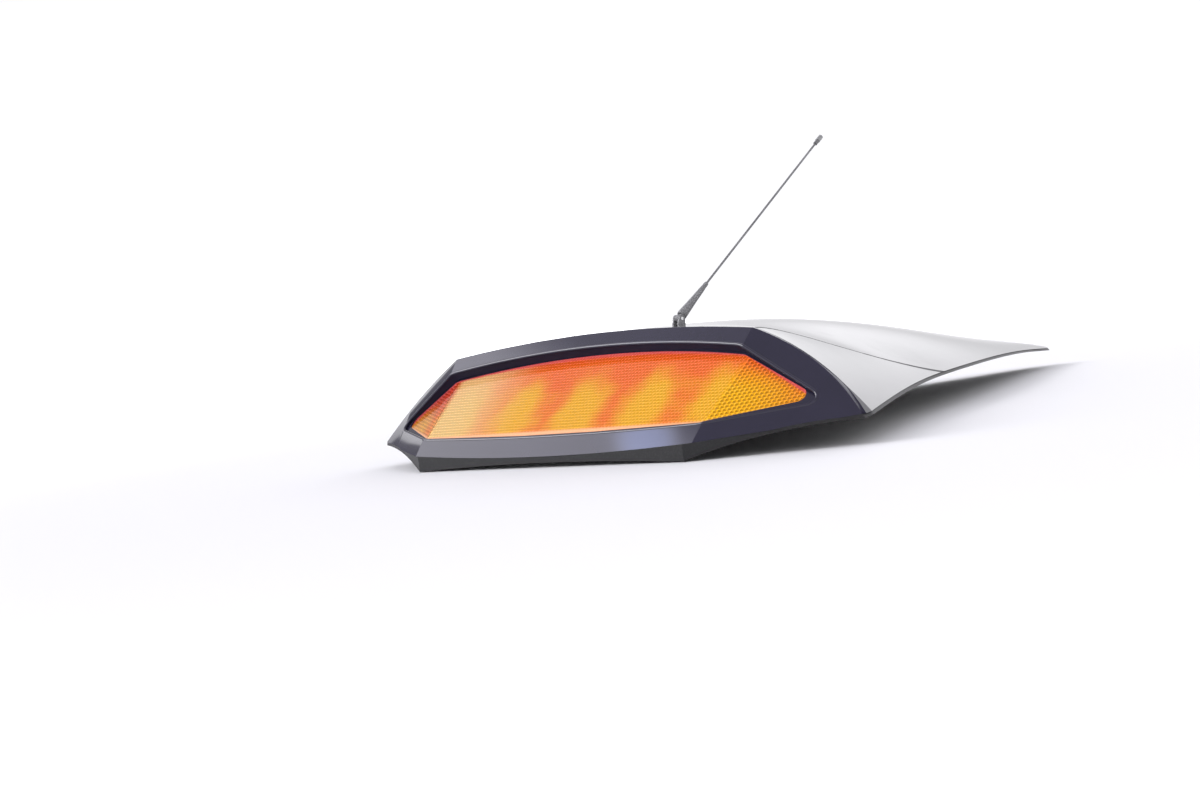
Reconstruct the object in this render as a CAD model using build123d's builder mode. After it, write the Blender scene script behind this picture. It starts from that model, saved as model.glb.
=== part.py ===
from math import asin, atan, atan2, cos, radians, sin, sqrt, tan
import os

from build123d import *

# Roof sign of a taxi cab with its folding aerial, in millimetres.
# +X is to the right as seen from the front, +Y rearward, +Z up off the roof.
# The origin is the centre of the four roof fixings, on the face of their bosses.

# Front: a brow plane in the middle and a facet at each side, all leaning back
front_y = -225.0
front_z = -4.0
brow_lean = 41.6
facet_lean = 36.9
facet_sweep = 24.0
facet_x = 140.0
facet_z = -16.2
front_reach = 110.0

# Body sections, front to tail: y, ridge height, crease half-width and height,
# half-width at floor_z and bulge of the flank between crease and floor
floor_z = -30.0
body_sections = (
    (-175.0, 59.4, 150.5, 51.4, 256.0, 9.8),
    (-75.0, 57.3, 148.0, 26.8, 219.0, 4.6),
    (35.0, 49.5, 151.0, -2.0, 180.0, 1.1),
    (175.0, 27.5, 104.0, -6.0, 130.6, 1.0),
    (295.0, 7.8, 55.0, -9.5, 78.6, 0.8),
    (415.0, -12.0, 12.0, -15.5, 28.0, 0.8),
)
tail_y = 371.0
tail_radius = 24.0
wall = 3.0
cut_reach = 900.0  # larger than the whole pod: for cutting blocks

# Roof skin that the pod sits on: a barrel with a tighter bend over the windscreen
roof_peak = 1.7
roof_peak_y = -25.0
roof_length_radius = 6000.0
roof_crown_radius = 3000.0
roof_bend_y = -170.0
roof_bend_radius = 118.0
roof_bend_turn = 50.0
roof_rear_turn = 5.0
roof_side_turn = 6.0
chin_z = -19.5
chin_radius = 2500.0
chin_span = 300.0
chin_sweep = 27.0
gasket_thickness = 2.0
gasket_width = 8.0
gasket_setback = 0.5

# Bezel, lens and lamp
bezel_thickness = 3.0
bezel_wall = 2.5
skirt_depth = 12.0
skirt_thickness = 2.0
fit_gap = 0.3
lens_extra_lean = 6.0
lens_sink = 1.4
lens_rim = 0.8
lens_thickness = 3.0
lens_flange = 2.4
recess_bottom = -2.9
recess_corner = (140.3, 0.1)

# Outlines on the brow plane: top and bottom heights on the centreline, then
# across, up and fillet of the shoulder, the side point and the lower corner
lip_outline = (71.9, recess_bottom, ((145.0, 60.5, 12.0), (213.6, 29.4, 4.5), (*recess_corner, 12.0)))
opening_outline = (71.4, -1.8, ((144.5, 58.6, 12.0), (207.0, 31.7, 6.0), (139.5, 1.0, 12.0)))
tray_wall = 2.0
tray_inset = 6.0
tray_back_y = -128.0
tray_top = 45.0
tray_shoulder = (147.0, 36.0)
tray_point = (212.0, 3.0)
tray_corner = (141.0, -10.0)
board_thickness = 1.6
board_height = 22.0
board_z = 24.0
centre_board_length = 230.0
side_board_length = 36.0
side_board_height = 10.0
side_board_gap = 7.0
side_board_z = 17.0
led_size = 5.0
led_height = 1.6

# Base pan and roof fixings
pan_thickness = 2.5
fixing_span_x = 140.0
fixing_span_y = 210.0
boss_flats = 20.0
boss_height = 16.0
boss_roof = 2.0
column_width = 8.0
insert_flats = 9.0
insert_length = 12.0
insert_bore = 3.0
grommet_y = -60.0
grommet_bore = 6.0
grommet_neck = 9.0
grommet_flange = 12.0
grommet_lip = 1.8
grommet_slack = 0.1

# Folding aerial on the ridge
aerial_lean = 34.1
pivot_y = -83.1
pivot_z = 61.5
seat_z = 53.4
seat_radius = 11.0
seat_floor = 3.0
foot_thickness = 2.6
pad_thickness = 1.0
stud_radius = 4.0
stud_length = 14.0
nut_radius = 7.0
nut_height = 5.0
ear_thickness = 1.4
ear_radius = 3.0
eye_width = 3.6
eye_gap = 0.2
pin_radius = 1.2
pin_gap = 0.05
neck_radius = 1.6
neck_length = 12.0
boot_start = 5.0
boot_end = 42.0
boot_root_radius = 3.0
boot_tip_radius = 1.5
boot_sides = 16
rod_radius = 0.85
aerial_length = 235.2
cap_length = 6.7
cap_radius = 2.0
cap_chamfer = 0.8
collar_length = 4.0
collar_radius = 1.7


def normal(lean, sweep):
    """Outward normal of a front face that leans back and is swept to one side."""
    flat = cos(radians(lean))
    return Vector(flat * sin(radians(sweep)), -flat * cos(radians(sweep)), sin(radians(lean)))


def section_points(row, inset):
    """Ridge, crease, flank middle and foot of one body section, moved inward by inset."""
    _, ridge, crease_x, crease_z, foot_x, bulge = row
    run = foot_x - crease_x
    fall = crease_z - floor_z
    chord = sqrt(run ** 2 + fall ** 2)
    chord_slope = atan2(fall, run)
    turn = 2 * atan(2 * bulge / chord)
    top_slope = 2 * atan((ridge - crease_z) / crease_x)
    start_slope = chord_slope - turn
    end_slope = chord_slope + turn
    mitre_slope = (top_slope + start_slope) / 2
    mitre = inset / cos((start_slope - top_slope) / 2)
    ridge_point = (0, ridge - inset)
    crease = (crease_x - mitre * sin(mitre_slope), crease_z - mitre * cos(mitre_slope))
    foot = (foot_x - inset / sin(end_slope), floor_z)
    reach = bulge - inset
    middle = (
        (crease_x + foot_x) / 2 + reach * sin(chord_slope),
        (crease_z + floor_z) / 2 + reach * cos(chord_slope),
    )
    return ridge_point, crease, middle, foot


def section_sketch(row, inset):
    """One closed body section in the open sketch: an arched top, two flanks and a flat floor."""
    ridge, crease, middle, foot = section_points(row, inset)
    with BuildLine() as outline:
        ThreePointArc((-crease[0], crease[1]), ridge, crease)
        ThreePointArc(crease, middle, foot)
        Line(foot, (-foot[0], foot[1]))
        ThreePointArc((-foot[0], foot[1]), (-middle[0], middle[1]), (-crease[0], crease[1]))
    make_face(outline.edges())


def pod_form(inset):
    """The pod's closed outer form moved inward by inset, run out past the front faces."""
    with BuildPart() as form:
        for row in body_sections:
            with BuildSketch(Plane.XZ.offset(-row[0])):
                section_sketch(row, inset)
        loft()
        with BuildSketch(Plane.XZ.offset(-body_sections[0][0])):
            section_sketch(body_sections[0], inset)
        extrude(amount=front_reach)
        with BuildSketch(Plane.XY.offset(floor_z)):
            with Locations((0, tail_y)):
                Rectangle(8 * tail_radius, 4 * tail_radius, align=(Align.CENTER, Align.MIN))
                Circle(tail_radius - inset, mode=Mode.SUBTRACT)
        extrude(amount=2 * tail_radius, mode=Mode.SUBTRACT)
    return form.part


def front_block(point, corner, lean, side_lean, depth, sweep=facet_sweep):
    """A large block behind a middle plane and one at each side, all moved inward by depth."""
    brow = normal(lean, 0)
    with BuildPart() as block:
        Box(cut_reach, cut_reach, cut_reach)
        split(bisect_by=Plane(Vector(*point) - brow * depth, z_dir=brow), keep=Keep.BOTTOM)
        for side in (-1, 1):
            facet = normal(side_lean, side * sweep)
            start = Vector(side * corner[0], corner[1], corner[2])
            split(bisect_by=Plane(start - facet * depth, z_dir=facet), keep=Keep.BOTTOM)
    return block.part


facet_y = front_y + (facet_z - front_z) * tan(radians(brow_lean))


def behind_front(depth):
    """Everything behind the bezel's three faces, moved inward by depth."""
    return front_block(
        (0, front_y, front_z), (facet_x, facet_y, facet_z), brow_lean, facet_lean, depth
    )


front_plane = Plane((0, front_y, front_z), x_dir=(1, 0, 0), z_dir=normal(brow_lean, 0))


def behind_lens(depth):
    """Everything behind the lens's three faces, moved inward by depth."""
    low_point = front_plane.from_local_coords(Vector(0, recess_bottom, -lens_sink))
    low_corner = front_plane.from_local_coords(Vector(*recess_corner, -lens_sink))
    return front_block(
        tuple(low_point),
        tuple(low_corner),
        brow_lean + lens_extra_lean,
        facet_lean + lens_extra_lean,
        depth,
    )


def behind_chin(depth):
    """Everything behind upright planes through the chin's lower edge, moved inward by depth."""
    chin_y = front_y + (chin_z - front_z) * tan(radians(brow_lean))
    return front_block((0, chin_y, 0), (facet_x, facet_y, 0), 0, 0, depth, chin_sweep)


def roof_height(y):
    """Height of the roof skin on the centreline, behind the windscreen bend."""
    return roof_peak - roof_length_radius + sqrt(
        roof_length_radius ** 2 - (y - roof_peak_y) ** 2
    )


def below_roof(lift):
    """Everything under the roof skin raised by lift."""
    long_centre = roof_peak - roof_length_radius
    rise = roof_bend_y - roof_peak_y
    slope = asin(rise / roof_length_radius)
    bend_top = (roof_bend_y, long_centre + roof_length_radius * cos(slope))
    bend_centre = (
        bend_top[0] - roof_bend_radius * sin(slope),
        bend_top[1] - roof_bend_radius * cos(slope),
    )
    bend = roof_bend_radius + lift
    length = roof_length_radius + lift
    low = radians(roof_bend_turn)
    middle = low / 2
    rear = radians(roof_rear_turn)
    bottom = bend_centre[1] - bend
    start = (bend_centre[0] - bend * sin(low), bend_centre[1] + bend * cos(low))
    via = (bend_centre[0] - bend * sin(middle), bend_centre[1] + bend * cos(middle))
    join = (bend_centre[0] + bend * sin(slope), bend_centre[1] + bend * cos(slope))
    crest = (roof_peak_y, long_centre + length)
    end = (roof_peak_y + length * sin(rear), long_centre + length * cos(rear))
    with BuildPart() as skin:
        with BuildSketch(Plane.YZ):
            with BuildLine():
                ThreePointArc(start, via, join)
                ThreePointArc(join, crest, end)
                Polyline(end, (end[0], bottom), (start[0], bottom), start)
            make_face()
        revolve(
            axis=Axis((0, 0, roof_peak - roof_crown_radius), (0, 1, 0)),
            revolution_arc=roof_side_turn,
        )
        mirror(about=Plane.YZ)
    return skin.part


def below_seal(lift):
    """Everything under the gasket's upper face raised by lift, with the chin's own lower edge."""
    edge_z = chin_z + chin_radius - sqrt(chin_radius ** 2 - chin_span ** 2)
    with BuildPart() as seal:
        add(below_roof(gasket_thickness + lift))
        with BuildSketch(Plane.XZ.offset(-body_sections[0][0])):
            with BuildLine():
                ThreePointArc(
                    (-chin_span, edge_z + lift), (0, chin_z + lift), (chin_span, edge_z + lift)
                )
                Polyline(
                    (chin_span, edge_z + lift),
                    (chin_span, 4 * chin_z),
                    (-chin_span, 4 * chin_z),
                    (-chin_span, edge_z + lift),
                )
            make_face()
        extrude(amount=front_reach)
    return seal.part


def recess_prism(outline, grow):
    """An outline of the recess as a prism square to the brow plane, grown by grow all round."""
    top, bottom, corners = outline
    right = [(x, v) for x, v, _ in corners]
    left = [(-x, v) for x, v in reversed(right)]
    with BuildPart() as prism:
        with BuildSketch(front_plane):
            with BuildLine():
                ThreePointArc(left[-1], (0, top), right[0])
                Polyline(*right)
                ThreePointArc(right[-1], (0, bottom), left[0])
                Polyline(*left)
            make_face()
            for x, v, radius in corners:
                pair = [p for p in vertices() if abs(abs(p.X) - x) < radius / 9
                        and abs(p.Y - v) < radius / 9]
                fillet(pair, radius)
            if grow:
                offset(amount=grow, kind=Kind.ARC)
        extrude(amount=front_reach, both=True)
    return prism.part


def save(piece, name):
    """Label one finished sub-part and write it."""
    piece.part.label = name
    export_step(piece.part, f"parts/{name}.step")


os.makedirs("parts", exist_ok=True)

# Fairing: a thin moulded shell with a seat for the aerial and columns for the base pan
pan_screws = ((-160, -112), (160, -112), (-105, 20), (105, 20), (0, 150), (0, 285))
with BuildPart() as columns:
    with BuildSketch(Plane.XY.offset(floor_z)):
        with Locations(*pan_screws):
            Rectangle(column_width, column_width)
    extrude(amount=cut_reach)
    with BuildSketch(Plane.XY.offset(seat_z - seat_floor)):
        with Locations((0, pivot_y)):
            RegularPolygon(seat_radius + seat_floor, 6, major_radius=False)
    extrude(amount=2 * seat_radius)
    add(pod_form(wall / 2), mode=Mode.INTERSECT)
    add(below_seal(pan_thickness), mode=Mode.SUBTRACT)

with BuildPart() as pod_shell:
    add(pod_form(0))
    add(pod_form(wall), mode=Mode.SUBTRACT)
    add(columns.part)
    with BuildSketch(Plane.XY.offset(seat_z)):
        with Locations((0, pivot_y)):
            Circle(seat_radius + fit_gap)
    extrude(amount=2 * seat_radius, mode=Mode.SUBTRACT)
    with BuildSketch(Plane.XY.offset(seat_z)):
        with Locations((0, pivot_y)):
            Circle(stud_radius + fit_gap)
    extrude(amount=-2 * seat_floor, mode=Mode.SUBTRACT)
    add(behind_front(bezel_thickness), mode=Mode.INTERSECT)
    add(below_seal(0), mode=Mode.SUBTRACT)
save(pod_shell, "pod_shell")

# Front bezel: three flat faces, a recess down to the lens and a skirt inside the fairing
with BuildPart() as lens_space:
    add(recess_prism(lip_outline, lens_flange + fit_gap))
    add(behind_lens(0), mode=Mode.INTERSECT)

with BuildPart() as recess_walls:
    add(recess_prism(lip_outline, bezel_wall))
    add(behind_front(bezel_thickness / 2), mode=Mode.INTERSECT)
    add(behind_lens(0), mode=Mode.SUBTRACT)

with BuildPart() as recess:
    add(recess_prism(lip_outline, 0))
    add(behind_lens(-lens_rim), mode=Mode.SUBTRACT)

with BuildPart() as skirt:
    add(pod_form(wall + fit_gap))
    add(pod_form(wall + fit_gap + skirt_thickness), mode=Mode.SUBTRACT)
    add(behind_front(bezel_thickness / 2), mode=Mode.INTERSECT)
    add(behind_front(skirt_depth), mode=Mode.SUBTRACT)
    add(below_seal(pan_thickness + fit_gap), mode=Mode.SUBTRACT)

with BuildPart() as front_bezel:
    add(pod_form(0))
    add(behind_front(0), mode=Mode.INTERSECT)
    add(behind_front(bezel_thickness), mode=Mode.SUBTRACT)
    add(recess_walls.part)
    add(skirt.part)
    add(recess.part, mode=Mode.SUBTRACT)
    add(recess_prism(opening_outline, 0), mode=Mode.SUBTRACT)
    add(lens_space.part, mode=Mode.SUBTRACT)
    add(below_seal(0), mode=Mode.SUBTRACT)
save(front_bezel, "front_bezel")

# Lens: one moulding with three faces that seats against the recess walls
with BuildPart() as lens:
    add(recess_prism(lip_outline, lens_flange))
    add(behind_lens(0), mode=Mode.INTERSECT)
    add(behind_lens(lens_thickness), mode=Mode.SUBTRACT)
    add(below_seal(pan_thickness + fit_gap), mode=Mode.SUBTRACT)
save(lens, "lens")


def lamp_form(grow):
    """The lamp's tray behind the lens, grown by grow: drawn straight back from the lens."""
    with BuildPart() as lamp:
        with BuildSketch(Plane.XZ.offset(-tray_back_y - grow)):
            with BuildLine():
                ThreePointArc(
                    (-tray_shoulder[0], tray_shoulder[1]), (0, tray_top), tray_shoulder
                )
                Polyline(tray_shoulder, tray_point, tray_corner)
                Line(tray_corner, (-tray_corner[0], tray_corner[1]))
                Polyline(
                    (-tray_corner[0], tray_corner[1]),
                    (-tray_point[0], tray_point[1]),
                    (-tray_shoulder[0], tray_shoulder[1]),
                )
            make_face()
            if grow:
                offset(amount=grow, kind=Kind.INTERSECTION)
        extrude(amount=front_reach)
        add(pod_form(tray_inset - grow), mode=Mode.INTERSECT)
        add(behind_lens(lens_thickness), mode=Mode.INTERSECT)
        add(below_seal(pan_thickness + fit_gap - grow), mode=Mode.SUBTRACT)
    return lamp.part


with BuildPart() as reflector_tray:
    add(lamp_form(0))
    add(lamp_form(-tray_wall), mode=Mode.SUBTRACT)
save(reflector_tray, "reflector_tray")

# Lamp boards: name, centre x, centre z, length, height, lamps
board_face_y = tray_back_y - tray_wall
side_board_x = (centre_board_length + side_board_length) / 2 + side_board_gap
lamp_boards = (
    ("led_board_left", -side_board_x, side_board_z, side_board_length, side_board_height, 2),
    ("led_board_centre", 0, board_z, centre_board_length, board_height, 9),
    ("led_board_right", side_board_x, side_board_z, side_board_length, side_board_height, 2),
)
for name, x, z, length, height, count in lamp_boards:
    with BuildPart() as led_board:
        with BuildSketch(Plane.XZ.offset(-board_face_y)):
            with Locations((x, z)):
                Rectangle(length, height)
        extrude(amount=board_thickness)
        with BuildSketch(Plane.XZ.offset(-board_face_y + board_thickness)):
            with Locations((x, z)):
                with GridLocations(length / count, 0, count, 1):
                    Rectangle(led_size, led_size)
        extrude(amount=led_height)
    save(led_board, name)

# Base pan: follows the roof inside the fairing and carries the four fixings
fixings = [
    (side * fixing_span_x / 2, end * fixing_span_y / 2) for end in (-1, 1) for side in (-1, 1)
]
with BuildPart() as base_pan:
    add(pod_form(wall + fit_gap))
    add(behind_front(bezel_thickness + fit_gap), mode=Mode.INTERSECT)
    add(below_seal(pan_thickness), mode=Mode.INTERSECT)
    add(below_seal(0), mode=Mode.SUBTRACT)
    with BuildSketch():
        with Locations(*fixings):
            RegularPolygon(boss_flats / 2, 6, major_radius=False)
    extrude(amount=boss_height)
    with BuildSketch():
        with Locations(*fixings):
            RegularPolygon(insert_flats / 2, 6, major_radius=False)
    extrude(amount=boss_height - boss_roof, mode=Mode.SUBTRACT)
    with BuildSketch(Plane.XY.offset(floor_z)):
        with Locations((0, grommet_y)):
            Circle(grommet_neck)
    extrude(amount=-2 * floor_z, mode=Mode.SUBTRACT)
save(base_pan, "base_pan")

with BuildPart() as roof_inserts:
    with BuildSketch():
        with Locations(*fixings):
            RegularPolygon(insert_flats / 2, 6, major_radius=False)
            Circle(insert_bore, mode=Mode.SUBTRACT)
    extrude(amount=insert_length)
save(roof_inserts, "roof_inserts")

# Gasket: a rubber band under the fairing's edge, the chin and the pan's rim
with BuildPart() as gasket_inside:
    add(pod_form(gasket_width))
    add(behind_front(gasket_width), mode=Mode.INTERSECT)

with BuildPart() as base_gasket:
    add(pod_form(gasket_setback))
    add(behind_chin(gasket_setback), mode=Mode.INTERSECT)
    add(gasket_inside.part, mode=Mode.SUBTRACT)
    add(below_seal(0), mode=Mode.INTERSECT)
    add(below_roof(0), mode=Mode.SUBTRACT)
save(base_gasket, "base_gasket")

# Cable grommet: a rubber ring in the pan, where the wiring drops through the roof
pan_low_z = roof_height(grommet_y) + gasket_thickness
grommet_groove = pan_thickness + 2 * grommet_slack
grommet_low_z = pan_low_z - grommet_slack - grommet_lip
grommet_rings = (
    (grommet_low_z, grommet_lip, grommet_flange),
    (grommet_low_z + grommet_lip, grommet_groove, grommet_neck),
    (grommet_low_z + grommet_lip + grommet_groove, grommet_lip, grommet_flange),
)
with BuildPart() as cable_grommet:
    for low, height, radius in grommet_rings:
        with BuildSketch(Plane.XY.offset(low)):
            with Locations((0, grommet_y)):
                Circle(radius)
                Circle(grommet_bore, mode=Mode.SUBTRACT)
        extrude(amount=height)
save(cable_grommet, "cable_grommet")

# Aerial base: a round foot in its seat, with a clamping stud below and two ears above
pad_z = seat_z + pad_thickness
foot_z = pad_z + foot_thickness
with BuildPart() as aerial_pad:
    with BuildSketch(Plane.XY.offset(seat_z)):
        with Locations((0, pivot_y)):
            Circle(seat_radius)
            Circle(stud_radius, mode=Mode.SUBTRACT)
    extrude(amount=pad_thickness)
save(aerial_pad, "aerial_pad")

with BuildPart() as aerial_base:
    with BuildSketch(Plane.XY.offset(pad_z)):
        with Locations((0, pivot_y)):
            Circle(seat_radius)
    extrude(amount=foot_thickness)
    chamfer(aerial_base.faces().sort_by(Axis.Z)[-1].edges(), foot_thickness / 2)
    with BuildSketch(Plane.XY.offset(pad_z)):
        with Locations((0, pivot_y)):
            Circle(stud_radius)
    extrude(amount=-stud_length)
    for side in (-1, 1):
        inner_x = side * (eye_width / 2 + eye_gap)
        with BuildSketch(Plane.YZ.offset(inner_x)):
            with BuildLine():
                ThreePointArc(
                    (pivot_y - ear_radius, pivot_z),
                    (pivot_y, pivot_z + ear_radius),
                    (pivot_y + ear_radius, pivot_z),
                )
                Polyline(
                    (pivot_y + ear_radius, pivot_z),
                    (pivot_y + ear_radius, pad_z + foot_thickness / 2),
                    (pivot_y - 2 * ear_radius, pad_z + foot_thickness / 2),
                    (pivot_y - ear_radius, pivot_z),
                )
            make_face()
        extrude(amount=side * ear_thickness)
    with BuildSketch(Plane.YZ.offset(-seat_radius)):
        with Locations((pivot_y, pivot_z)):
            Circle(pin_radius)
    extrude(amount=2 * seat_radius, mode=Mode.SUBTRACT)
save(aerial_base, "aerial_base")

with BuildPart() as aerial_pin:
    with BuildSketch(Plane.YZ.offset(-eye_width / 2 - eye_gap - ear_thickness)):
        with Locations((pivot_y, pivot_z)):
            Circle(pin_radius)
    extrude(amount=eye_width + 2 * eye_gap + 2 * ear_thickness)
save(aerial_pin, "aerial_pin")

with BuildPart() as aerial_nut:
    with BuildSketch(Plane.XY.offset(seat_z - seat_floor)):
        with Locations((0, pivot_y)):
            RegularPolygon(nut_radius, 6, major_radius=False)
            Circle(stud_radius, mode=Mode.SUBTRACT)
    extrude(amount=-nut_height)
save(aerial_nut, "aerial_nut")

# Aerial: pieces turned about one leaning axis from the hinge pin
aerial_direction = Vector(0, cos(radians(aerial_lean)), sin(radians(aerial_lean)))
aerial_plane = Plane((0, pivot_y, pivot_z), x_dir=aerial_direction, z_dir=(1, 0, 0))
aerial_axis = Axis((0, pivot_y, pivot_z), aerial_direction)


def turned(points):
    """A piece turned about the aerial's axis from a closed outline of (along, radius)."""
    with BuildPart() as piece:
        with BuildSketch(aerial_plane):
            with BuildLine():
                Polyline(*points, close=True)
            make_face()
        revolve(axis=aerial_axis)
    return piece


with BuildPart() as aerial_knuckle:
    add(turned(((0, 0), (neck_length, 0), (neck_length, neck_radius), (0, neck_radius))).part)
    with BuildSketch(Plane.YZ.offset(-eye_width / 2)):
        with Locations((pivot_y, pivot_z)):
            Circle(ear_radius)
    extrude(amount=eye_width)
    with BuildSketch(Plane.YZ.offset(-eye_width / 2)):
        with Locations((pivot_y, pivot_z)):
            Circle(pin_radius + pin_gap)
    extrude(amount=eye_width, mode=Mode.SUBTRACT)
save(aerial_knuckle, "aerial_knuckle")

with BuildPart() as aerial_boot:
    for along, radius in ((boot_start, boot_root_radius), (boot_end, boot_tip_radius)):
        ring_centre = Vector(0, pivot_y, pivot_z) + aerial_direction * along
        with BuildSketch(Plane(ring_centre, x_dir=(1, 0, 0), z_dir=aerial_direction)):
            RegularPolygon(radius, boot_sides)
    loft(ruled=True)
    add(turned(((0, 0), (neck_length, 0), (neck_length, neck_radius), (0, neck_radius))).part,
        mode=Mode.SUBTRACT)
    add(turned(((0, 0), (aerial_length, 0), (aerial_length, rod_radius), (0, rod_radius))).part,
        mode=Mode.SUBTRACT)
save(aerial_boot, "aerial_boot")

cap_start = aerial_length - cap_length
collar_start = cap_start - collar_length
rod_end = cap_start + collar_length / 2
aerial_rod = turned(
    ((neck_length, 0), (rod_end, 0), (rod_end, rod_radius), (neck_length, rod_radius))
)
save(aerial_rod, "aerial_rod")

aerial_collar = turned(
    (
        (collar_start, rod_radius),
        (cap_start, rod_radius),
        (cap_start, collar_radius),
        (collar_start, collar_radius),
    )
)
save(aerial_collar, "aerial_collar")

aerial_cap = turned(
    (
        (rod_end, 0),
        (aerial_length, 0),
        (aerial_length, cap_radius - cap_chamfer),
        (aerial_length - cap_chamfer, cap_radius),
        (cap_start, cap_radius),
        (cap_start, rod_radius),
        (rod_end, rod_radius),
    )
)
save(aerial_cap, "aerial_cap")
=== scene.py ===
"""Looks of a taxi's roof sign and its folding aerial, built round the fixed frame."""

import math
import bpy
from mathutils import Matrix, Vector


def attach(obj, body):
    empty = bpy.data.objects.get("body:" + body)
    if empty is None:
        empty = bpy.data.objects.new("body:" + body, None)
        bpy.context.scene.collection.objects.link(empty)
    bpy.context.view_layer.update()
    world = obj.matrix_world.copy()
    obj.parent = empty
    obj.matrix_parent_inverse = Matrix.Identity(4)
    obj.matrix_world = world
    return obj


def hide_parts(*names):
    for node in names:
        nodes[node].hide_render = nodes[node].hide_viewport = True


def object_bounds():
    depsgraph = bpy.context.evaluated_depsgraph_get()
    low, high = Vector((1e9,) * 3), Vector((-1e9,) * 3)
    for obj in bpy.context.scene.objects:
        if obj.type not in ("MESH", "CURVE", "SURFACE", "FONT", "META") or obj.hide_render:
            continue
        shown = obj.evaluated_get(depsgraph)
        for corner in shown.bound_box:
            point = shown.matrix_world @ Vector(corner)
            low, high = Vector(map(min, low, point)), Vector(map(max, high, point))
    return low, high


bl_info = {
    "name": "Roof Sign Finish",
    "version": (1, 0, 0),
    "blender": (4, 5, 0),
    "location": "View3D > Sidebar > Roof Sign",
    "description": "Finishes a taxi's roof sign: fairing, bezel, prismatic lens, lamp and aerial",
    "category": "Object",
}

import bpy
import numpy as np
from bpy.props import FloatProperty, FloatVectorProperty, IntProperty, PointerProperty
from mathutils import Matrix, Vector

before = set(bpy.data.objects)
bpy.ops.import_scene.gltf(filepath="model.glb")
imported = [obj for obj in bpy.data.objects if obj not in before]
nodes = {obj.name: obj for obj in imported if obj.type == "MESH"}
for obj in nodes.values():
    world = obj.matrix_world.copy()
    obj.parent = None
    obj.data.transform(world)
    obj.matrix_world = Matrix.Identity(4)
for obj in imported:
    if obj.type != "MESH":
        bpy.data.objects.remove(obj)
cad_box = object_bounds()

POD = "pod"
AERIAL = "aerial"

# The fairing's flank crease: places along the sign and distances from its middle, in metres
CREASE_ALONG = (-0.175, -0.075, 0.035, 0.175, 0.295)
CREASE_OUT = (0.1505, 0.148, 0.151, 0.104, 0.055)
CREASE_TAIL = (0.03, 0.10)  # along the sign, where the crease's matt line fades
CREASE_FOOT = (-0.010, -0.004)  # upwards, where it starts
CUT_EDGE = (0.45, 0.6)  # forward part of the normal, from which the front edge is matt

# Zones of the lens's glow, each from its start to where it is complete, in metres
END_LAMP = (0.105, 0.145)  # outwards: the end lamps' light grows
END_TIP = (0.175, 0.215)  # outwards: it fades
END_RISE = (0.022, 0.062)  # upwards: it fades
END_LEFT = (-0.150, -0.136)  # inwards over the left crease: it grows out of the painted shade of the left facet
EMBER_TIP = (0.150, 0.200)  # outwards: ember comes in
EMBER_TOP = (-0.013, -0.002)  # up to the outline's top: ember comes in
PAINTED_SHADE_LEFT_END = (-0.150, -0.138)  # inwards over the left crease: the ember of painted shade on the left facet ends
PAINTED_SHADE_LEFT_RISE = (0.018, 0.050)  # upwards: that painted shade comes in
LEFT_CREASE = (-0.147, -0.139)  # inwards over the left crease
PAINTED_REFLECTION_FADE = (-0.125, -0.045)  # inwards: the pale amber, a painted reflection, fades
LOW_RIM = (0.0022, 0.0042)  # over the outline's foot: the low rim ends
TOP_RIM = (-0.0042, -0.0026)  # up to the outline's top: the top rim starts
FULL_HEAT = (0.10, 0.85)  # the lamps' summed light, as a share: from amber to yellow
PAINTED_SHADE_WAY = (0.62, -0.40, -0.35)  # painted shade: the way that the prisms' shaded sides face
PAINTED_SHADE_TURN = (-0.30, 0.70)  # part of the normal along it: from painted light to painted shade on the prisms' sides

# The boot's outline: places along it, and radii there, as shares of its length and foot
BOOT_ALONG = (0.0, 0.0, 0.01, 0.03, 0.08, 0.2, 0.35, 0.5, 0.65, 0.8, 0.9, 0.955, 0.985, 1.0, 1.0)
BOOT_WIDE = (0.0, 0.86, 0.96, 1.0, 0.98, 0.9, 0.8, 0.7, 0.62, 0.55, 0.5, 0.5, 0.47, 0.4, 0.0)
BOOT_NECK = 0.5
BOOT_NECK_START = 0.85
GROOVE_END = 0.93
GROOVE_FADE = 0.1

# The studio's panels: the way to the middle of each, and the cosines at its edge and inside
REAR_PANEL = ((-0.30, 0.85, 0.43), 0.76, 0.93)
FRONT_PANEL = ((-0.70, -0.50, 0.50), 0.95, 0.985)
SMALL_LAMP = ((-0.702, -0.157, 0.698), math.cos(math.radians(1.2)), math.cos(math.radians(0.4)))
DARK_CARD = ((-0.93, 0.25, 0.30), 0.93, 0.975)
SIDE_CUT = (0.0, 0.7, 1.0)  # the side panel ends on a plane across this direction
SIDE_END = (0.575, 0.62)  # the distance along it where the panel ends
SIDE_LEFT = (0.2, 0.5)  # leftwards: it starts

# Upward parts of a direction between which the studio's light changes
AIR_DIM = (0.60, 0.80)  # the backdrop dims
AIR_TINT = (0.50, 0.70)  # it takes its overhead colour
REAR_RISE = (0.10, 0.30)  # the rear panel starts
SIDE_RISE = (0.35, 0.55)  # the side panel starts
CARD_RISE = (0.19, 0.225)  # the dark card starts

# The camera's place in metres, and the ways to its right and its back
CAMERA_PLACE = (0.9210, -1.0671, 0.0730)
CAMERA_RIGHT = (0.6947, 0.7084, -0.1249)
CAMERA_BACK = (0.7174, -0.6951, 0.0474)


def length(name, value, description):
    """A length in metres whose default is given in millimetres."""
    return FloatProperty(name=name, description=description, default=value / 1000,
                         unit="LENGTH", precision=5)


def angle(name, value, description):
    """An angle whose default is given in degrees."""
    return FloatProperty(name=name, description=description, default=math.radians(value),
                         subtype="ANGLE")


def amount(name, value, description):
    """A plain number, such as a share or a brightness."""
    return FloatProperty(name=name, description=description, default=value, min=0.0)


def colour(name, value, description):
    """A linear colour."""
    return FloatVectorProperty(name=name, description=description, default=value, size=3,
                               subtype="COLOR", min=0.0, max=1.0)


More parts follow.
